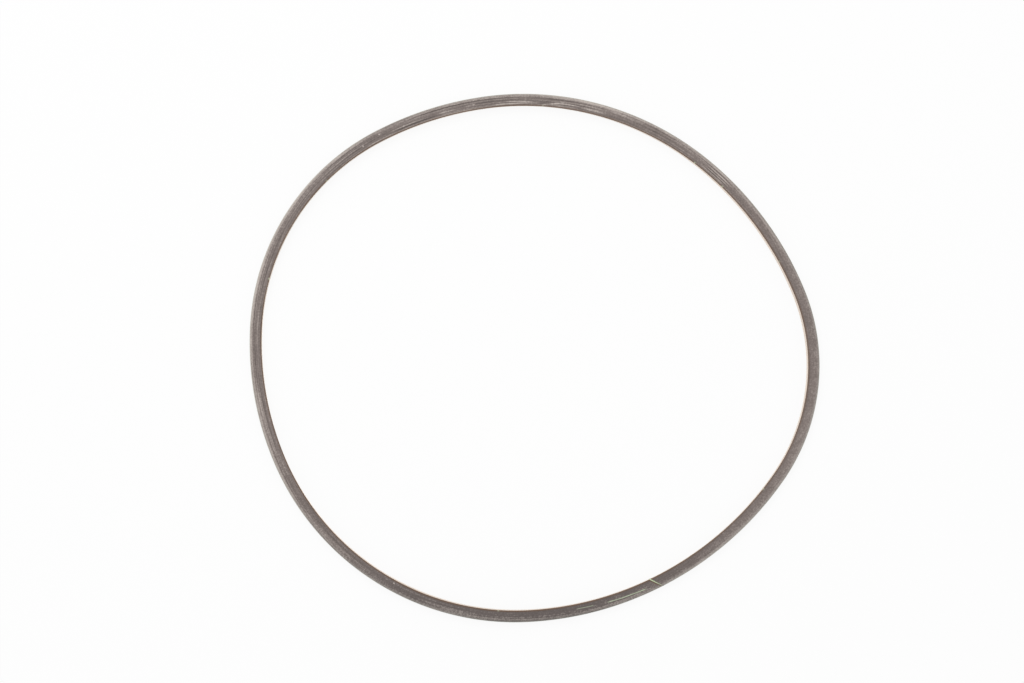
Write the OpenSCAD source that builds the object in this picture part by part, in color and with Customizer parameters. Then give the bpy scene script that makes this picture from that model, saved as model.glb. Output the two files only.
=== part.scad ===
// D-ring seal: a rubber cord of D-shaped section, cut at a skew, bonded end to end
// and lying flat on one of its two flat sides. The flat base of the D is the inside
// of the ring and its round crown is the outside.

/* [Ring] */
// Inside diameter of the ring when it is held to a true circle
inner_d = 151.99; // [100:0.01:400]
// How far the free loop relaxes: 0 is a true circle, 1 is the loop as it lies
slack = 1; // [0:0.05:1]
// Direction in which the first bend sets out, in degrees from +X
start_heading = 55; // [0:0.5:90]

/* [D section] */
// Height of the D, from its flat base to the top of its crown
section_h = 3.53; // [3:0.01:6]
// Width of the D between its two flat sides
section_w = 3.53; // [2.4:0.01:4.6]
// Radius on the two corners of the flat base
base_corner_r = 0.3; // [0.1:0.05:0.6]

/* [Joint] */
// Skew of the bonded joint, away from straight across the section
joint_skew = 38; // [0:1:45]
// Direction that the crown faces at the joint, in degrees from +X
joint_facing = 296.25; // [0:0.25:359.75]
// Width of the line of bond rubber along the joint
bond_w = 0.4; // [0.1:0.05:1]
// How far the bond rubber stands proud of the section
bond_proud = 0.05; // [0.02:0.01:0.2]

/* [Hidden] */

// Facets round a full turn of the section and of the loop
SECTION_FN = 32;
LOOP_FN = 160;

// The loop is a chain of tangent bends, anticlockwise from above. Each has its turn in
// degrees and its radius as a share of the round ring's. The two bends with no radius
// get the ones that close the loop.
BENDS = [
    [57.5, 0.73],
    [28.0, 1.22],
    [48.0],
    [19.0, 1.24],
    [59.0],
    [26.5, 1.13],
    [69.5, 0.96],
    [52.5, 1.22]
];
LAST = len(BENDS) - 1;

// The crown is a full half round between the flat sides
crown_r = section_w / 2;
crown_x = section_h - crown_r;

// Radius of the round ring through the middle of the section
mean_r = (inner_d + section_h) / 2;

// Length of the slab that cuts out the bond line, well clear of the section
slab = 3 * (section_h + section_w);

rubber = [0.51, 0.47, 0.45];
bond_rubber = [0.66, 0.66, 0.56];

// ---- The loop ----

function unit(a) = [cos(a), sin(a)];
function turn(k) = BENDS[k][0];
function total(list, count) = count == 0 ? 0 : list[count - 1] + total(list, count - 1);
TURNS = [for (bend = BENDS) bend[0]];

// Heading at the start of a bend, and the direction from its centre to that start
function heading(k) = start_heading + total(TURNS, k);
function from_centre(k) = heading(k) - 90;

// Turn along a bend that a length of its middle line comes to
function arc_degrees(length, k) = length / RADII[k] * 180 / PI;

// Move from the start of a bend to its end, for a radius of 1
function chord(k) = unit(from_centre(k) + turn(k)) - unit(from_centre(k));

function is_closer(k) = len(BENDS[k]) == 1;
function free_share(k) = 1 + slack * (BENDS[k][1] - 1);

// What the other bends leave open is shared out along the chords of the two closers
CLOSERS = [for (k = [0 : LAST]) if (is_closer(k)) k];
function open_end(k = 0) =
    k > LAST ? [0, 0] : open_end(k + 1) - (is_closer(k) ? [0, 0] : free_share(k) * chord(k));
function closing_share(k, other) = cross(open_end(), chord(other)) / cross(chord(k), chord(other));
SHARES = [
    for (k = [0 : LAST])
        k == CLOSERS[0] ? closing_share(k, CLOSERS[1])
        : k == CLOSERS[1] ? closing_share(k, CLOSERS[0])
        : free_share(k)
];

// The loop is as long as the round ring through the middle of the section
scale_to_length = 360 * mean_r / (TURNS * SHARES);
RADII = scale_to_length * SHARES;

// Start and centre of each bend, with the first bend's start at zero
function start_point(k) = k == 0 ? [0, 0] : start_point(k - 1) + RADII[k - 1] * chord(k - 1);
CENTRES = [for (k = [0 : LAST]) start_point(k) - RADII[k] * unit(from_centre(k))];

// Turn along a bend before it faces a direction, the bend that does face it, and how
// far the ring reaches that way
function turn_to(k, a) = (a - from_centre(k) + 720) % 360;
function facing_bend(a, k = 0) = turn_to(k, a) <= turn(k) || k == LAST ? k : facing_bend(a, k + 1);
function reach(a) =
    let (k = facing_bend(a)) CENTRES[k] * unit(a) + RADII[k] + section_h / 2;

// Middle of the ring's outline, which becomes the origin
middle = [reach(0) - reach(180), reach(90) - reach(270)] / 2;

// ---- The D section, drawn with its flat base on x = 0 and its lower side on y = 0 ----

// Drawn larger all round by grow
module d_section(grow = 0) {
    translate([base_corner_r, -grow])
        square([crown_x - base_corner_r, section_w + 2 * grow]);
    translate([-grow, base_corner_r])
        square([crown_x + grow, section_w - 2 * base_corner_r]);
    for (y = [base_corner_r, section_w - base_corner_r])
        translate([base_corner_r, y])
            circle(r = base_corner_r + grow);
    translate([crown_x, section_w / 2])
        circle(r = crown_r + grow);
}

// The outline of the bond rubber: proud of the D all round, but flush underneath
module bond_section() {
    intersection() {
        d_section(bond_proud);
        translate([-slab / 2, 0])
            square(slab);
    }
}

// A move made in two steps, a round one and the small rest. It brings the ends of
// neighbouring bends together so closely that they join face to face
module move_finely(v) {
    round_part = [for (c = v) round(c * 1000) / 1000];
    translate(round_part)
        translate(v - round_part)
            children();
}

// Sweeps a section, its base towards the centre, through part of one bend
module sweep_bend(k, from, sweep) {
    move_finely(CENTRES[k] - middle)
        rotate_extrude(angle = sweep, start = from_centre(k) + from, $fn = LOOP_FN)
            move_finely([RADII[k] - section_h / 2, 0])
                children();
}

// ---- The one piece ----

module bond_line() {
    k = facing_bend(joint_facing);
    spread = arc_degrees(slab / 2, k);
    intersection() {
        sweep_bend(k, turn_to(k, joint_facing) - spread, 2 * spread)
            bond_section($fn = SECTION_FN);
        translate(CENTRES[k] + RADII[k] * unit(joint_facing) - middle)
            rotate(joint_facing + joint_skew)
                cube([slab, bond_w, slab], center = true);
    }
}

module seal_ring() {
    color(rubber)
        for (k = [0 : LAST])
            sweep_bend(k, 0, turn(k))
                d_section($fn = SECTION_FN);
    color(bond_rubber)
        bond_line();
}

seal_ring();
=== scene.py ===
"""Dresses the D-ring seal: one rubber cord, swept round its loop with its die lines, bonded
joint, scratches and nicks, on a white floor under a soft light. Lengths are in metres
where no comment says millimetres."""
import math

import bpy
import numpy as np
from mathutils import Matrix, Vector


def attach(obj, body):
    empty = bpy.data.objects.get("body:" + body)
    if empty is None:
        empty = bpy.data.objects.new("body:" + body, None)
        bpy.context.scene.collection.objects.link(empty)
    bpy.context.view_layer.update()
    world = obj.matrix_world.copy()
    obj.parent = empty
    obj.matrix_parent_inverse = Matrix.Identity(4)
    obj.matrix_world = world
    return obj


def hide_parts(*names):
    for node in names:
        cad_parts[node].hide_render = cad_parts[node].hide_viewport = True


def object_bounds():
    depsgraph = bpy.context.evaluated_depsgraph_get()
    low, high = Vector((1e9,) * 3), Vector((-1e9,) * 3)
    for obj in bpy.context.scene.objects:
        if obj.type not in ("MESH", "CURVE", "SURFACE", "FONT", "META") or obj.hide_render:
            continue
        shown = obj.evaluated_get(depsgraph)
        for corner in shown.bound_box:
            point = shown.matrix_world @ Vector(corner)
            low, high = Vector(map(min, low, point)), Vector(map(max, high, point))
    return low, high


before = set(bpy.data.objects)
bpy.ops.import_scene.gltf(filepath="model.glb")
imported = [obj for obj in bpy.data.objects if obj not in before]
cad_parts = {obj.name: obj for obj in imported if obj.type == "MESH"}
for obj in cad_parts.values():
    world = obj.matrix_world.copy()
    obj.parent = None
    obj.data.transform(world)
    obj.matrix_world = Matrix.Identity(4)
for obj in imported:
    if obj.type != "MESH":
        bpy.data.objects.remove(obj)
cad_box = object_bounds()

MM = 0.001
NODE = "seal_ring"

# The D section, and the chain of tangent bends that it is swept along, anticlockwise
# from above. The heading is the first bend's, in degrees from +X. Each bend has its turn
# in degrees, and its radius as a share. The two bends with no share close the loop
SECTION_H = 3.53 * MM
SECTION_W = 3.53 * MM
BASE_CORNER_R = 0.3 * MM
START_HEADING = 55.0
BENDS = [
    (57.5, 0.73),
    (28.0, 1.22),
    (48.0, None),
    (19.0, 1.24),
    (59.0, None),
    (26.5, 1.13),
    (69.5, 0.96),
    (52.5, 1.22),
]

# The bonded joint: the direction its middle faces and its skew, in degrees, and its bead
# of bond rubber
JOINT_FACING = 296.25
JOINT_SKEW = 38
BOND_W = 0.4 * MM
BOND_PROUD = 0.05 * MM

# Marks on the cord, in millimetres: lengths along the loop from the first bend's start,
# and heights above the flat base
SCRATCHES = [
    # from along and height, to along and height, half width, brightness
    (425.4, 1.74, 438.0, 2.07, 0.08, 1.0),
    (416.6, 1.40, 421.8, 1.53, 0.07, 0.55),
]
STREAKS = [
    # from along and height, to along and height, half width, shade: pale above 0
    (62.0, 2.58, 108.0, 2.58, 0.20, 0.30),
    (84.0, 0.45, 106.0, 0.45, 0.18, 0.35),
    (92.5, 1.37, 104.0, 1.37, 0.12, 1.00),
    (92.5, 2.00, 102.0, 2.00, 0.12, 1.00),
    (92.5, 2.95, 103.0, 2.95, 0.16, 0.60),
    (93.0, 1.08, 104.0, 1.08, 0.10, -0.60),
    (93.0, 1.70, 104.0, 1.70, 0.10, -0.60),
    (93.0, 2.41, 105.0, 2.41, 0.10, -0.80),
    (93.5, 0.80, 106.0, 0.75, 0.13, 0.90),
    (112.0, 0.95, 134.0, 0.90, 0.34, -0.35),
    (114.0, 2.39, 125.0, 2.39, 0.11, -0.70),
    (114.0, 2.94, 119.0, 2.94, 0.14, 0.60),
    (126.0, 1.70, 150.0, 1.72, 0.20, -0.35),
    (126.0, 2.18, 150.0, 2.18, 0.14, 0.30),
    (131.0, 2.35, 157.0, 2.35, 0.12, -0.90),
    (131.0, 2.95, 159.0, 2.95, 0.15, 0.30),
    (135.0, 1.00, 144.0, 1.00, 0.36, 0.75),
    (135.5, 1.92, 152.0, 1.95, 0.12, 0.50),
    (137.0, 1.60, 148.0, 1.60, 0.10, -0.80),
    (143.0, 0.80, 152.0, 0.50, 0.13, 0.60),
    (143.0, 1.08, 150.0, 1.05, 0.09, -0.70),
    (143.0, 1.37, 152.0, 1.25, 0.14, 1.00),
    (144.0, 0.58, 174.0, 0.58, 0.22, 0.30),
    (146.0, 2.38, 176.0, 2.38, 0.18, -0.30),
    (148.0, 1.50, 174.0, 1.50, 0.20, -0.30),
    (149.0, 1.40, 155.5, 0.40, 0.16, 1.00),
    (151.5, 1.00, 156.5, 0.85, 0.30, -0.80),
    (157.0, 0.85, 171.0, 0.60, 0.15, 0.90),
    (157.0, 1.25, 166.0, 1.41, 0.13, 0.90),
    (157.0, 2.20, 170.0, 2.20, 0.12, 0.20),
    (157.0, 2.55, 198.0, 2.52, 0.13, -1.10),
    (158.0, 1.78, 182.0, 1.75, 0.12, -0.70),
    (159.0, 1.05, 177.0, 1.02, 0.12, -0.80),
    (164.0, 0.42, 206.0, 0.42, 0.20, 0.80),
    (169.0, 2.12, 201.0, 2.12, 0.12, 0.20),
    (170.0, 2.32, 200.0, 2.30, 0.14, -0.30),
    (173.5, 1.80, 177.5, 1.50, 0.20, 0.70),
    (179.5, 1.31, 186.0, 1.31, 0.13, 0.80),
    (182.0, 0.90, 228.0, 0.95, 0.30, -0.45),
    (183.0, 0.86, 200.0, 0.86, 0.13, -1.10),
    (189.0, 1.31, 202.0, 1.30, 0.13, 0.80),
    (198.0, 0.62, 209.0, 0.60, 0.13, 0.50),
    (198.0, 2.39, 226.0, 2.35, 0.13, -0.70),
    (214.0, 2.20, 238.0, 2.20, 0.16, 0.35),
    (216.0, 2.25, 320.0, 2.20, 0.16, 0.20),
    (216.0, 2.68, 330.0, 2.66, 0.14, -0.20),
    (228.0, 0.95, 256.0, 0.95, 0.28, -0.40),
    (228.0, 1.55, 256.0, 1.55, 0.22, 0.35),
    (231.5, 3.05, 238.5, 2.80, 0.16, 0.35),
    (243.0, 3.08, 254.0, 3.08, 0.15, -0.30),
    (243.5, 0.90, 249.5, 0.50, 0.13, 0.40),
    (244.0, 1.75, 282.0, 1.70, 0.45, 0.24),
    (248.0, 2.22, 274.0, 2.22, 0.16, 0.35),
    (254.0, 3.10, 264.0, 3.08, 0.15, 0.35),
    (262.0, 1.95, 294.0, 1.90, 0.30, -0.45),
    (286.0, 1.10, 314.0, 1.10, 0.25, -0.30),
    (288.0, 2.30, 314.0, 2.28, 0.15, 0.30),
    (304.0, 1.62, 336.0, 1.60, 0.20, 0.25),
    (308.0, 1.35, 317.5, 1.32, 0.14, 0.30),
    (310.5, 2.30, 317.5, 2.30, 0.12, 0.30),
    (340.0, 2.00, 372.0, 1.95, 0.20, -0.20),
    (386.0, 2.20, 426.0, 2.18, 0.17, 0.25),
    (436.0, 1.25, 462.0, 1.25, 0.30, -0.25),
    (442.0, 2.02, 458.0, 1.98, 0.16, -0.20),
    (458.0, 2.30, 486.0, 2.30, 0.18, 0.25),
]
# Chips along the inner top edge: along and depth
NICKS = [
    (67.2, 0.08), (95.1, 0.14), (105.8, 0.16), (154.4, 0.08),
    (223.8, 0.10), (257.8, 0.20), (393.6, 0.08), (483.1, 0.11),
]
# Pale specks on the top: along, height and brightness
FLECKS = [
    (174.8, 1.64, 0.55), (183.7, 0.84, 0.40), (196.0, 1.32, 1.0), (203.4, 2.10, 1.7),
    (209.1, 1.40, 1.8), (246.7, 0.60, 0.40), (277.1, 1.36, 0.30), (286.2, 0.70, 0.30),
    (293.6, 2.24, 0.32), (361.6, 1.00, 1.2), (365.7, 1.01, 0.35), (412.6, 1.85, 0.28),
    (465.6, 0.60, 0.35),
]

# Strength of the lengthwise die lines, by the direction the crown faces
DIE_STRENGTH = [
    (0, 0.1), (25, 0.25), (50, 0.8), (75, 1.35), (105, 1.15), (120, 1.4), (170, 1.25),
    (200, 1.1), (225, 1.1), (250, 0.7), (290, 0.7), (310, 0.3), (360, 0.1),
]

# Bloom on the rubber, which greys it, with painted light and shade in the same table: by the
# direction the crown faces, it is lightest round most of the loop and painted darkest where the crown
# faces about -Y
BLOOM_AND_PAINTED_LIGHT = [
    (0, 0.83), (45, 0.92), (80, 0.90), (120, 0.78), (140, 0.74), (165, 1.0), (200, 0.90),
    (225, 0.82), (245, 0.16), (275, 0.02), (287, 0.06), (300, 0.42), (315, 0.82),
    (330, 0.98), (345, 1.0), (360, 0.83),
]

# Painted highlight on the flank of the crown, for the table's light that it catches: how much paler
# the flank is than the top, by the direction it faces
FLANK_PAINTED_HIGHLIGHT = [
    (0, 0.19), (30, 0.24), (70, 0.42), (105, 0.30), (135, 0.64), (165, 0.95), (185, 0.60),
    (225, 0.40), (255, 0.15), (285, 0.0), (305, 0.50), (335, 0.34), (360, 0.19),
]

# How far the cord's sides lean outwards, in degrees, by the direction the crown faces
LEAN = [
    (0, 1.5), (20, 3), (45, 1.5), (80, -3.5), (120, -1.5), (160, 0), (180, -1), (200, -4),
    (225, -0.5), (247, 1), (280, -2.5), (307, -5), (335, -1), (360, 1.5),
]


# ---- The loop ----

def unit(angle):
    """Unit vectors that point along angles in radians."""
    return np.stack([np.cos(angle), np.sin(angle)], axis=-1)


class Loop:
    """The middle line of the cord, from the same bends as the CAD loop and as wide."""

    def __init__(self, width):
        turns = np.radians([turn for turn, share in BENDS])
        self.facing = math.radians(START_HEADING - 90) + np.concatenate([[0], np.cumsum(turns)])
        chords = unit(self.facing[1:]) - unit(self.facing[:-1])
        self.radii = np.array([share or 0 for turn, share in BENDS])
        closers = [k for k, (turn, share) in enumerate(BENDS) if share is None]
        open_end = -(self.radii[:, None] * chords).sum(axis=0)
        self.radii[closers] = np.linalg.solve(chords[closers].T, open_end)
        moves = self.radii[:, None] * chords
        begins = np.cumsum(moves, axis=0) - moves
        self.centres = begins - self.radii[:, None] * unit(self.facing[:-1])
        scale = (width - SECTION_H) / (self.reach(0) + self.reach(180))
        self.radii *= scale
        self.centres *= scale
        across = self.reach(0) - self.reach(180)
        up = self.reach(90) - self.reach(270)
        self.centres -= np.array([across, up]) / 2
        self.ends = np.cumsum(self.radii * turns)
        self.starts = self.ends - self.radii * turns
        self.length = self.ends[-1]

    def reach(self, degrees):
        """How far the middle line goes in one direction."""
        angle = math.radians(degrees)
        k = self.bend_facing(angle)
        return self.centres[k] @ unit(angle) + self.radii[k]

    def bend_facing(self, angle):
        """Number of the bend whose crown faces an angle."""
        turned = (angle - self.facing[0]) % (2 * math.pi)
        return int(np.searchsorted(self.facing[1:] - self.facing[0], turned))

    def along_to(self, degrees):
        """Length along the loop at which the crown faces a direction."""
        angle = math.radians(degrees)
        k = self.bend_facing(angle)
        turned = (angle - self.facing[k]) % (2 * math.pi)
        return self.starts[k] + turned * self.radii[k]

    def at(self, along):
        """Points of the middle line, and the angle that the crown faces there."""
        k = np.minimum(np.searchsorted(self.ends, along), len(self.radii) - 1)
        angle = self.facing[k] + (along - self.starts[k]) / self.radii[k]
        return self.centres[k] + self.radii[k][:, None] * unit(angle), angle


# The cord is a hair narrower than the CAD ring, so that it stays inside its box
CLEARANCE = 0.01 * MM
loop = Loop(cad_box[1].x - cad_box[0].x - CLEARANCE)
joint_along = loop.along_to(JOINT_FACING)


# ---- The D section ----

# Order of the three finishes in the mesh's material slots, and the angle on the crown,
# in degrees above level, at which the top gives way to the flank
TOP, BASE, FLANK = range(3)
FLANK_FROM = 58


def arc(centre, radius, start, end, steps):
    """Points and normals round an arc, without its last point."""
    angle = np.radians(start + (end - start) * np.arange(steps) / steps)
    normal = unit(angle)
    return np.array(centre) + radius * normal, normal


def flat(begin, end, normal, steps):
    """Points and normals along a straight side, without its last point."""
    share = np.arange(steps)[:, None] / steps
    points = np.array(begin) * (1 - share) + np.array(end) * share
    return points, np.tile(np.array(normal, float), (steps, 1))


def d_section():
    """The outline from the foot of the base, up it, over the top and the crown and back:
    points (x from the base, y above the floor), normals, and the finish at each. Each
    stretch ends with its number of steps."""
    corner_r = BASE_CORNER_R
    crown_r = SECTION_W / 2
    crown_x = SECTION_H - crown_r
    crown = (crown_x, crown_r)
    top = SECTION_W
    finishes, stretches = zip(
        (BASE, flat((0, corner_r), (0, top - corner_r), (-1, 0), 6)),
        (TOP, arc((corner_r, top - corner_r), corner_r, 180, 90, 4)),
        (TOP, flat((corner_r, top), (crown_x, top), (0, 1), 22)),
        (TOP, arc(crown, crown_r, 90, FLANK_FROM, 7)),
        (FLANK, arc(crown, crown_r, FLANK_FROM, 0, 13)),
        (FLANK, arc(crown, crown_r, 0, -90, 8)),
        (TOP, flat((crown_x, 0), (corner_r, 0), (0, -1), 2)),
        (BASE, arc((corner_r, corner_r), corner_r, -90, -180, 3)),
    )
    points = np.concatenate([places for places, ways in stretches])
    normals = np.concatenate([ways for places, ways in stretches])
    return points, normals, np.repeat(finishes, [len(places) for places, ways in stretches])


# ---- Relief and marks ----

# The die's lines: the seed of their draw, how many there are, and the ranges of their
# half width and depth in millimetres and of their shade
DIE_SEED = 7
DIE_LINES = 70
DIE_HALF_WIDTH = (0.06, 0.17)
DIE_DEPTH = (0.003, 0.014)
DIE_SHADE = (-0.34, 0.34)

# A die line comes and goes round the loop: its middle strength, and how far it swells
DIE_MIDDLE = 0.35
DIE_SWELL = 0.8

# That swell is a sum of waves: how many, the count round the loop that each stays under,
# and what the sum is divided by, which keeps it mostly between -1 and 1
RIPPLE_WAVES = 7
RIPPLE_COUNT = 14
RIPPLE_RANGE = 4

# Stations along the loop, in millimetres: how far the fine ones reach to either side of
# a mark, the fine steps, and the coarse step elsewhere
JOINT_REACH = 2.2
JOINT_STEP = 0.09
SCRATCH_STEP = 0.25
NICK_REACH = 0.6
FLECK_REACH = 0.4
SPOT_STEP = 0.12
COARSE_STEP = 0.48

# The upward part of a point's normal, from 0 to full effect: on the top, seen from above,
# clear of the floor, and on the inner edge
ON_TOP = (0.5, 0.8)
SEEN_FROM_ABOVE = (-0.3, 0.3)
OFF_FLOOR = (-1.0, -0.8)
ON_INNER_EDGE = (-0.1, 0.4)

# Shade across the cord, as heights above the base in millimetres and the shade at each
ACROSS_HEIGHTS = [0.4, 1.5, 2.7]
ACROSS_SHADES = [-0.24, 0, 0.08]

# Heights in millimetres over which the painted highlight on the flank sets in, and the painted shade
# along the inner edge; and the share of that shade which full bloom and painted light hide
FLANK_HIGHLIGHT_FADE = (2.35, 3.0)
INNER_EDGE_SHADE_FADE = (0.6, 0.1)
EDGE_SHADE_UNDER_BLOOM = 0.3

# Share of its length over which each end of a streak and of a scratch tapers
STREAK_TAPER = 0.3
SCRATCH_TAPER = 0.1
SCRATCH_DEPTH = 0.03 * MM

# Radius of a fleck, in millimetres
FLECK_R = 0.22

# A nick: its half length in millimetres, how far in from both faces its middle lies, its
# radius across the edge, and its paleness for each millimetre of depth
NICK_HALF = 0.25
NICK_INSET = 0.1 * MM
NICK_R = 0.28 * MM
NICK_PALENESS = 4

# The groove beside the bond line, which is also painted dark as shade: its place off the line's
# middle, its half width and its depth
GROOVE_OFF = 0.34 * MM
GROOVE_HALF = 0.13 * MM
GROOVE_DEPTH = 0.04 * MM

# The bond's colour, in millimetres: how far it reaches from the middle of the bond line at
# the base, how much less at the crown, and how softly it ends
BOND_REACH = 0.20
BOND_NARROWING = 0.06
BOND_SOFT = 0.1

# How strongly that colour shows, as heights above the base in millimetres and shares
BOND_HEIGHTS = [0.8, 2.6, 3.4]
BOND_SHARES = [1, 0.6, 0.1]

# The streaky noise: the width of its streaks across the cord, and the radius, in noise
# units, of the circle that it is read on round the loop
STREAK_WIDTH = 0.34 * MM
STREAK_CIRCLE = 3.6


def smooth_step(low, high, value):
    """From 0 at low to 1 at high, without a corner at either."""
    share = np.clip((value - low) / (high - low), 0, 1)
    return share * share * (3 - 2 * share)


def ripple(rng, angle):
    """A smooth wandering value that closes on itself round the loop."""
    counts = rng.integers(1, RIPPLE_COUNT, RIPPLE_WAVES)
    phases = rng.uniform(0, 2 * math.pi, RIPPLE_WAVES)
    total = sum(np.cos(count * angle + phase) for count, phase in zip(counts, phases))
    return total / RIPPLE_RANGE


def around(section):
    """Length round the outline to each of its points, and all the way round."""
    steps = np.linalg.norm(np.roll(section, -1, axis=0) - section, axis=1)
    return np.concatenate([[0], np.cumsum(steps)[:-1]]), steps.sum()


def die_lines(section, angle, strength):
    """The fine lengthwise lines that the die leaves: their depth and shade at each station
    and point."""
    rng = np.random.default_rng(DIE_SEED)
    place, full = around(section)
    depth = np.zeros((len(angle), len(place)))
    shade = np.zeros_like(depth)
    for _ in range(DIE_LINES):
        middle = rng.uniform(0, full)
        spread = rng.uniform(*DIE_HALF_WIDTH) * MM
        deepest = rng.uniform(*DIE_DEPTH) * MM
        tone = rng.uniform(*DIE_SHADE)
        off = (place - middle + full / 2) % full - full / 2
        swell = np.clip(DIE_MIDDLE + DIE_SWELL * ripple(rng, angle), 0, 1)
        line = (swell * strength)[:, None] * np.exp(-(off / spread) ** 2)
        depth += deepest * line
        shade += tone * line
    return depth, shade


def stations(length, joint):
    """Lengths along the loop at which the section is set, closer together at the marks."""
    spots = [(place, NICK_REACH) for place, depth in NICKS]
    spots += [(place, FLECK_REACH) for place, height, bright in FLECKS]
    fine = [(joint - JOINT_REACH * MM, joint + JOINT_REACH * MM, JOINT_STEP * MM)]
    fine += [(mark[0] * MM, mark[2] * MM, SCRATCH_STEP * MM) for mark in SCRATCHES]
    fine += [((place - reach) * MM, (place + reach) * MM, SPOT_STEP * MM) for place, reach in spots]
    coarse = COARSE_STEP * MM
    places = []
    along = 0.0
    while along < length - coarse / 2:
        places.append(along)
        along += min([step for low, high, step in fine if low <= along < high], default=coarse)
    return np.array(places)


def joint_offset(along, x):
    """Distance from the middle of the bond line, on the top of the cord."""
    skew = math.radians(JOINT_SKEW)
    return (along - joint_along) * math.cos(skew) - (x - SECTION_H / 2) * math.sin(skew)


def line_mark(along, x, mark, taper):
    """The brightness of a straight mark on it, and 0 off it. It tapers over a share of
    its length at each end."""
    start, start_x, end, end_x, half, bright = mark
    share = (along / MM - start) / (end - start)
    centre = start_x + (end_x - start_x) * np.clip(share, 0, 1)
    body = np.exp(-((x / MM - centre) / half) ** 2)
    ends = smooth_step(0, taper, share) * smooth_step(0, taper, 1 - share)
    return bright * body * ends


def by_direction(table, degrees):
    """A value by the direction the crown faces, from a table, on straight lines between
    its rows."""
    directions, values = zip(*table)
    return np.interp(degrees, directions, values)


def dress_shade(shade, along, x, on_top, above, flank_highlight):
    """Adds the streaks, the shade across the cord, the painted highlight on its flank and its flecks.
    """
    for mark in STREAKS:
        shade = shade + line_mark(along, x, mark, STREAK_TAPER) * on_top
    shade = shade + np.interp(x / MM, ACROSS_HEIGHTS, ACROSS_SHADES) * above
    shade = shade + flank_highlight * smooth_step(*FLANK_HIGHLIGHT_FADE, x / MM) * above
    for place, height, bright in FLECKS:
        off = np.hypot(along / MM - place, x / MM - height)
        shade = shade + bright * np.exp(-(off / FLECK_R) ** 2) * on_top
    return shade


def bond_marks(along, x, above):
    """The bead of the bond, the groove beside it, and the bond's colour, from 0 to 1."""
    bond_at = joint_offset(along, x)
    bead = np.clip(1 - (bond_at / (BOND_W / 2)) ** 2, 0, 1)
    groove = np.exp(-((bond_at + GROOVE_OFF) / GROOVE_HALF) ** 2) * above
    reach = BOND_REACH - BOND_NARROWING * x / SECTION_H
    colour = smooth_step(reach, reach - BOND_SOFT, np.abs(bond_at) / MM) * above
    return bead, groove, colour * np.interp(x / MM, BOND_HEIGHTS, BOND_SHARES)


def wear_marks(along, x, y, on_top):
    """The scratches, from 0 to 1, and the depth of the nicks in millimetres."""
    scratched = np.zeros(np.broadcast_shapes(along.shape, x.shape))
    for mark in SCRATCHES:
        scratched = np.maximum(scratched, line_mark(along, x, mark, SCRATCH_TAPER) * on_top)
    edge = np.exp(-(np.hypot(x - NICK_INSET, y - SECTION_W + NICK_INSET) / NICK_R) ** 2)
    nicked = np.zeros_like(scratched)
    for place, depth in NICKS:
        bite = np.exp(-((along / MM - place) / NICK_HALF) ** 2)
        nicked = np.maximum(nicked, depth * bite * edge)
    return scratched, nicked


def marked_section(section, normals, along, angle):
    """How far each point of the cord is sunk below the plain section, and the masks that
    the materials colour it by."""
    facing = np.degrees(angle) % 360
    fineness = by_direction(DIE_STRENGTH, facing)
    # Bloom together with painted light and shade, by the direction the crown faces
    bloom_and_painted_light = by_direction(BLOOM_AND_PAINTED_LIGHT, facing)[:, None]
    flank_highlight = by_direction(FLANK_PAINTED_HIGHLIGHT, facing)[:, None]
    along = along[:, None]
    x = section[None, :, 0]
    y = section[None, :, 1]
    up = normals[None, :, 1]
    on_top = smooth_step(*ON_TOP, up)
    above = smooth_step(*SEEN_FROM_ABOVE, up)

    sunk, shade = die_lines(section, angle, fineness)
    shade = dress_shade(shade, along, x, on_top, above, flank_highlight)
    bead, groove, bond_colour = bond_marks(along, x, above)
    scratched, nicked = wear_marks(along, x, y, on_top)
    sunk = sunk * (1 - bead) + GROOVE_DEPTH * groove
    sunk = sunk - BOND_PROUD * np.sqrt(bead) * smooth_step(*OFF_FLOOR, up)
    sunk = sunk + SCRATCH_DEPTH * scratched
    sunk = sunk + MM * nicked

    # Painted shade: a dark line along the inner top edge, which bloom and painted light partly hide,
    # and in the groove beside the bond line
    inner_edge_shade = smooth_step(*INNER_EDGE_SHADE_FADE, x / MM) * smooth_step(*ON_INNER_EDGE, up)
    edge = (1.0 - EDGE_SHADE_UNDER_BLOOM * bloom_and_painted_light) * inner_edge_shade + groove
    masks = {
        "bond": bond_colour,
        "pale": np.clip(scratched + NICK_PALENESS * nicked, 0, 1),
        "edge": np.clip(edge, 0, 1),
        "shade": shade,
        "bloom_and_painted_light": bloom_and_painted_light,
        "fineness": fineness[:, None],
    }
    return sunk, masks


def streak_place(section, angle):
    """Where the streaky noise is read: in small steps across the cord and long ones along
    it, on a circle in two more dimensions, so that it closes on itself."""
    place = np.empty((len(angle), len(section), 4))
    place[..., :2] = section[None] / STREAK_WIDTH
    place[..., 2:] = STREAK_CIRCLE * unit(angle)[:, None]
    return place


def cord_points(section, normals, sunk, middle, angle):
    """The section set at every station, leaning as the cord does there, and its points
    sunk along their normals."""
    lean = np.tan(np.radians(by_direction(LEAN, np.degrees(angle) % 360)))[:, None]
    x = section[:, 0] - normals[:, 0] * sunk + lean * (section[:, 1] - SECTION_W / 2)
    y = section[:, 1] - normals[:, 1] * sunk
    outward = unit(angle)[:, None, :]
    flat_places = middle[:, None, :] + (x - SECTION_H / 2)[..., None] * outward
    return np.concatenate([flat_places, y[..., None]], axis=2).reshape(-1, 3)


def cord_faces(rings, points):
    """Faces between each point and its neighbours, closed round the loop and the section."""
    ring, point = np.meshgrid(np.arange(rings), np.arange(points), indexing="ij")
    here = ring * points
    ahead = (ring + 1) % rings * points
    beside = (point + 1) % points
    corners = [here + point, ahead + point, ahead + beside, here + beside]
    return np.stack(corners, axis=-1).reshape(-1, 4)


def add_attribute(mesh, name, kind, field, values):
    layer = mesh.attributes.new(name, kind, "POINT")
    layer.data.foreach_set(field, np.ascontiguousarray(values, np.float32).ravel())


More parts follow.
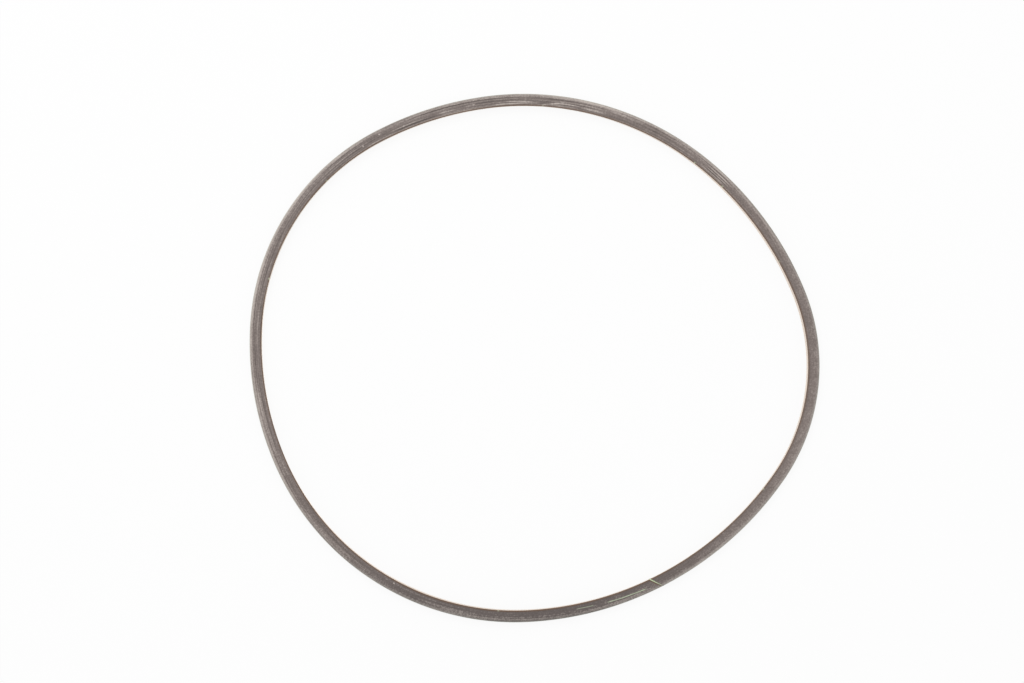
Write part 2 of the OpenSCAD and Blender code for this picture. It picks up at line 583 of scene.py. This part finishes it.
def build_cord():
    """The one piece: the cord's mesh, with the masks that its materials read."""
    section, normals, finishes = d_section()
    along = stations(loop.length, joint_along)
    middle, angle = loop.at(along)
    sunk, masks = marked_section(section, normals, along, angle)
    points = cord_points(section, normals, sunk, middle, angle)
    faces = cord_faces(*sunk.shape)

    mesh = bpy.data.meshes.new("seal_ring_rubber")
    mesh.from_pydata(points.tolist(), [], faces.tolist())
    mesh.polygons.foreach_set("use_smooth", np.ones(len(mesh.polygons), bool))
    mesh.polygons.foreach_set("material_index", np.tile(finishes, len(angle)).astype(np.int32))
    for name, mask in masks.items():
        add_attribute(mesh, name, "FLOAT", "value", np.broadcast_to(mask, sunk.shape))
    streak = streak_place(section, angle)
    add_attribute(mesh, "streak", "FLOAT_VECTOR", "vector", streak[..., :3])
    add_attribute(mesh, "streak_w", "FLOAT", "value", streak[..., 3])
    mesh.update()
    cord = bpy.data.objects.new("seal_ring_rubber", mesh)
    bpy.context.scene.collection.objects.link(cord)
    return cord


# ---- Materials ----

# Plain rubber, and rubber under its bloom and painted light, on the top and the flank; the same pair
# on the base is painted lighter, a painted reflection of the white table in the smooth inner wall
RUBBER = (0.118, 0.096, 0.090, 1)
RUBBER_BLOOMED_AND_LIT = (0.212, 0.172, 0.157, 1)
# Painted reflection: the base's pair is lighter than the top's, standing in for the white table that
# the inner wall mirrors
BASE_RUBBER_PAINTED_LIGHTER = (0.20, 0.163, 0.144, 1)
BASE_BLOOMED_PAINTED_LIGHTER = (0.27, 0.222, 0.195, 1)

# What a shade of 1 and of -1 turns the rubber to
RUBBER_PALE = (0.50, 0.44, 0.40, 1)
RUBBER_DARK = (0.070, 0.054, 0.047, 1)

# Painted shade on the inner edge and in the groove, the scratches and nicks, and the bond
EDGE_SHADE = (0.125, 0.066, 0.034, 1)
MARK = (0.66, 0.78, 0.54, 1)
BOND = (0.56, 0.65, 0.41, 1)

# The middle stretch of a noise's values, which is spread over what the noise sets
NOISE_LOW = 0.3
NOISE_HIGH = 0.7

# How far the streaks, the grain and the clouds move the shade, either way
STREAK_SHADE = 0.42
GRAIN_SHADE = 0.30
CLOUD_SHADE = 0.10

# Detail of the streaks, and the scale and detail of the grain and of the clouds
STREAK_DETAIL = 3.0
GRAIN_NOISE = (2200, 2.0)
CLOUD_NOISE = (320, 3.0)

# The bump: the shares of grain and streaks in it, its strength and its depth
BUMP_GRAIN = 0.4
BUMP_STREAK = 0.6
BUMP_STRENGTH = 0.35
BUMP_DEPTH = 0.02 * MM


class Nodes:
    """Short calls for building the node tree of a material or a world."""

    def __init__(self, owner):
        owner.use_nodes = True
        self.tree = owner.node_tree
        self.tree.nodes.clear()

    def add(self, kind, inputs=None, **settings):
        """A node with its settings, and with values or links on its inputs."""
        node = self.tree.nodes.new(kind)
        for key, value in settings.items():
            setattr(node, key, value)
        for key, value in (inputs or {}).items():
            self.put(value, node.inputs[key])
        return node

    def put(self, value, socket):
        if isinstance(value, bpy.types.NodeSocket):
            self.tree.links.new(value, socket)
        else:
            socket.default_value = value

    def attribute(self, name, output="Fac"):
        return self.add("ShaderNodeAttribute", attribute_name=name).outputs[output]

    def maths(self, operation, a, b):
        return self.add("ShaderNodeMath", {0: a, 1: b}, operation=operation).outputs[0]

    def total(self, first, *rest):
        for value in rest:
            first = self.maths("ADD", first, value)
        return first

    def spread(self, value, low, high, to_low=0.0, to_high=1.0):
        """A value brought from one range to another, and held within it."""
        return self.add("ShaderNodeMapRange", {
            "Value": value,
            "From Min": low,
            "From Max": high,
            "To Min": to_low,
            "To Max": to_high,
        }).outputs[0]

    def swing(self, noise, by):
        """A noise spread to either side of 0."""
        return self.spread(noise, NOISE_LOW, NOISE_HIGH, -by, by)

    def mix(self, share, a, b):
        # A Mix node has a socket A and a socket B for each kind of data, so they go by number
        node = self.add("ShaderNodeMix", data_type="RGBA")
        self.put(share, node.inputs[0])
        self.put(a, node.inputs[6])
        self.put(b, node.inputs[7])
        return node.outputs[2]

    def noise(self, scale, detail):
        where = self.add("ShaderNodeTexCoord").outputs["Object"]
        values = {"Vector": where, "Scale": scale, "Detail": detail}
        return self.add("ShaderNodeTexNoise", values).outputs["Fac"]

    def finish(self, shader, output="ShaderNodeOutputMaterial"):
        self.add(output, {"Surface": shader.outputs[0]})


def rubber_material(name, plain, bloomed_and_lit, roughness, constants):
    """Extruded rubber. Every finish has the same streaks, grain, marks and bump, and its
    own two colours, range of roughness and constants of the shader."""
    material = bpy.data.materials.new(name)
    nodes = Nodes(material)
    streak = nodes.add("ShaderNodeTexNoise", {
        "Vector": nodes.attribute("streak", "Vector"),
        "W": nodes.attribute("streak_w"),
        "Scale": 1.0,
        "Detail": STREAK_DETAIL,
    }, noise_dimensions="4D").outputs["Fac"]
    grain = nodes.noise(*GRAIN_NOISE)
    cloud = nodes.noise(*CLOUD_NOISE)
    shade = nodes.total(
        nodes.attribute("shade"),
        nodes.maths("MULTIPLY", nodes.swing(streak, STREAK_SHADE), nodes.attribute("fineness")),
        nodes.swing(grain, GRAIN_SHADE),
        nodes.swing(cloud, CLOUD_SHADE),
    )
    # Bloom greys the rubber, and the same mix paints light and shade: lighter round most of the loop,
    # darker where the crown faces about -Y
    colour = nodes.mix(nodes.attribute("bloom_and_painted_light"), plain, bloomed_and_lit)
    # The shade carries the streaks, die lines, noise and flecks, and the painted highlight on the
    # flank
    colour = nodes.mix(nodes.spread(shade, 0, 1), colour, RUBBER_PALE)
    colour = nodes.mix(nodes.spread(shade, 0, -1), colour, RUBBER_DARK)
    # Painted shade on the inner edge and in the groove
    colour = nodes.mix(nodes.attribute("edge"), colour, EDGE_SHADE)
    colour = nodes.mix(nodes.attribute("pale"), colour, MARK)
    colour = nodes.mix(nodes.attribute("bond"), colour, BOND)
    height = nodes.total(
        nodes.maths("MULTIPLY", grain, BUMP_GRAIN),
        nodes.maths("MULTIPLY", streak, BUMP_STREAK),
    )
    bump = nodes.add("ShaderNodeBump", {
        "Height": height,
        "Strength": BUMP_STRENGTH,
        "Distance": BUMP_DEPTH,
    })
    shader = nodes.add("ShaderNodeBsdfPrincipled", {
        "Base Color": colour,
        "Roughness": nodes.spread(grain, NOISE_LOW, NOISE_HIGH, *roughness),
        "Normal": bump.outputs[0],
        **constants,
    })
    nodes.finish(shader)
    return material


def top_material():
    """Dull rubber on the flat sides and the top of the crown."""
    return rubber_material("rubber_top", RUBBER, RUBBER_BLOOMED_AND_LIT, roughness=(0.52, 0.68), constants={
        "Specular IOR Level": 0.4,
        "Sheen Weight": 0.15,
        "Sheen Roughness": 0.5,
        "Sheen Tint": (1.0, 0.98, 0.92, 1),
    })


def flank_material():
    """The flank of the crown, where the bloom catches the light from the table."""
    return rubber_material("rubber_flank", RUBBER, RUBBER_BLOOMED_AND_LIT, roughness=(0.42, 0.58), constants={
        "Specular IOR Level": 0.5,
        "Sheen Weight": 0.7,
        "Sheen Roughness": 0.3,
        "Sheen Tint": (0.88, 1.0, 0.74, 1),
    })


def base_material():
    """The flat base, which the die leaves smooth: it mirrors the table at a low angle, and its
    colours are painted lighter than the top's as a painted reflection of that table.
    """
    return rubber_material("rubber_base", BASE_RUBBER_PAINTED_LIGHTER, BASE_BLOOMED_PAINTED_LIGHTER, roughness=(0.2, 0.3), constants={
        "Specular IOR Level": 0.8,
        "Coat Weight": 1.0,
        "Coat Roughness": 0.08,
        "Coat Tint": (1.0, 0.88, 0.77, 1),
        "Sheen Weight": 1.0,
        "Sheen Roughness": 0.3,
        "Sheen Tint": (1.0, 0.80, 0.62, 1),
    })


WHITE = (1, 1, 1, 1)
FLOOR_PAINT = (0.9, 0.9, 0.9, 1)

# Share of plain white in the floor as the eye sees it
FLOOR_WHITE = 0.9


def white_to_the_eye(nodes, share):
    """The share of plain white that camera, glossy and transmission rays see."""
    path = nodes.add("ShaderNodeLightPath").outputs
    seen = nodes.maths("MAXIMUM", path["Is Camera Ray"], path["Is Glossy Ray"])
    seen = nodes.maths("MAXIMUM", seen, path["Is Transmission Ray"])
    return nodes.maths("MULTIPLY", seen, share)


def floor_material():
    """White floor. To the eye and in reflections it is mostly plain white, and the rest
    keeps the seal's shadow."""
    material = bpy.data.materials.new("floor_white")
    nodes = Nodes(material)
    paint = nodes.add("ShaderNodeBsdfDiffuse", {"Color": FLOOR_PAINT})
    white = nodes.add("ShaderNodeEmission", {"Color": WHITE, "Strength": 1.0})
    nodes.finish(nodes.add("ShaderNodeMixShader", {
        0: white_to_the_eye(nodes, FLOOR_WHITE),
        1: paint.outputs[0],
        2: white.outputs[0],
    }))
    return material


# ---- Stage, light and camera ----

FLOOR_HALF = 3.0

# The lamp and the room's light
SOFTBOX_AT = (-0.12, 0.28, 0.55)
SOFTBOX_SIZE = 0.4
SOFTBOX_WATTS = 1.5
ROOM_LIGHT = 0.7

# The camera looks down from a little to the left of the seal's middle. Its lens and
# sensor are in millimetres
CAMERA_AT = (-0.02686, 0.00831, 0.775)
CAMERA_AIM = (-0.00679, 0.00484, 0.0025)
CAMERA_LENS = 93.78
CAMERA_SENSOR = 36.0


def look_at(obj, place, target):
    """Puts a camera or lamp in place and aims it, with its top towards +Y."""
    ahead = (Vector(target) - Vector(place)).normalized()
    right = ahead.cross(Vector((0, 1, 0))).normalized()
    up = right.cross(ahead)
    turn = Matrix((right, up, -ahead)).transposed()
    obj.matrix_world = Matrix.Translation(place) @ turn.to_4x4()


def build_floor():
    corners = [(x * FLOOR_HALF, y * FLOOR_HALF, 0) for x, y in ((-1, -1), (1, -1), (1, 1), (-1, 1))]
    mesh = bpy.data.meshes.new("floor")
    mesh.from_pydata(corners, [], [(0, 1, 2, 3)])
    mesh.materials.append(floor_material())
    floor = bpy.data.objects.new("floor", mesh)
    bpy.context.scene.collection.objects.link(floor)
    return floor


def build_light():
    light = bpy.data.lights.new("softbox", "AREA")
    light.shape = "SQUARE"
    light.size = SOFTBOX_SIZE
    light.energy = SOFTBOX_WATTS
    softbox = bpy.data.objects.new("softbox", light)
    look_at(softbox, SOFTBOX_AT, (0, 0, 0))
    bpy.context.scene.collection.objects.link(softbox)


def build_world():
    """Even white light from all round, and plain white to the eye."""
    world = bpy.data.worlds.new("world")
    nodes = Nodes(world)
    ambient = nodes.add("ShaderNodeBackground", {"Color": WHITE, "Strength": ROOM_LIGHT})
    white = nodes.add("ShaderNodeBackground", {"Color": WHITE, "Strength": 1.0})
    nodes.finish(nodes.add("ShaderNodeMixShader", {
        0: white_to_the_eye(nodes, 1.0),
        1: ambient.outputs[0],
        2: white.outputs[0],
    }), "ShaderNodeOutputWorld")
    bpy.context.scene.world = world


def build_camera():
    lens = bpy.data.cameras.new("camera")
    lens.sensor_width = CAMERA_SENSOR
    lens.lens = CAMERA_LENS
    camera = bpy.data.objects.new("camera", lens)
    look_at(camera, CAMERA_AT, CAMERA_AIM)
    bpy.context.scene.collection.objects.link(camera)
    bpy.context.scene.camera = camera


cord = build_cord()
for finish in (top_material, base_material, flank_material):
    cord.data.materials.append(finish())
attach(cord, "root")
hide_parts(NODE)

build_floor()
build_light()
build_world()
build_camera()
bpy.context.scene.view_settings.view_transform = "Standard"
